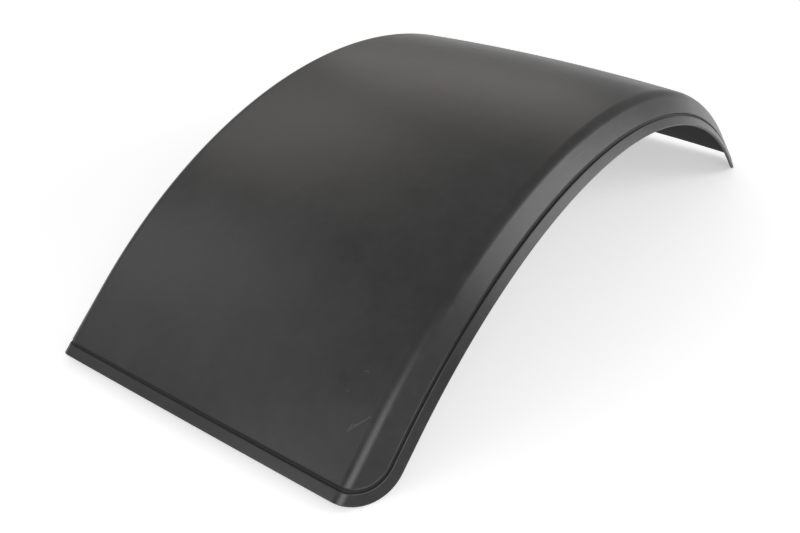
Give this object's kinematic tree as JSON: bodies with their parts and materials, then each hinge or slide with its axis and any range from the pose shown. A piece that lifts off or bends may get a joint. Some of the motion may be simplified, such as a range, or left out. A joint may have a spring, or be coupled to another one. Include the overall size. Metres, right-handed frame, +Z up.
{
  "type": "truck mudguard",
  "caption": "Arched plastic truck mudguard with a crowned panel, rounded shoulders, flared skirts and a groove that sets off a flat rim all the way round its open edge.",
  "frame": {"origin": "on the ground, midway between the two ends and midway across the width", "axes": "+X along the truck, from one end of the arch to the other, +Y across the guard, +Z up"},
  "size_m": [0.9448, 0.43, 0.2262],
  "materials": {
    "black_plastic": "satin moulded black with a fine grain, soft mottling and a few light scuffs"
  },
  "bodies": {
    "root": {"mudguard": "black_plastic"}
  },
  "joints": []
}
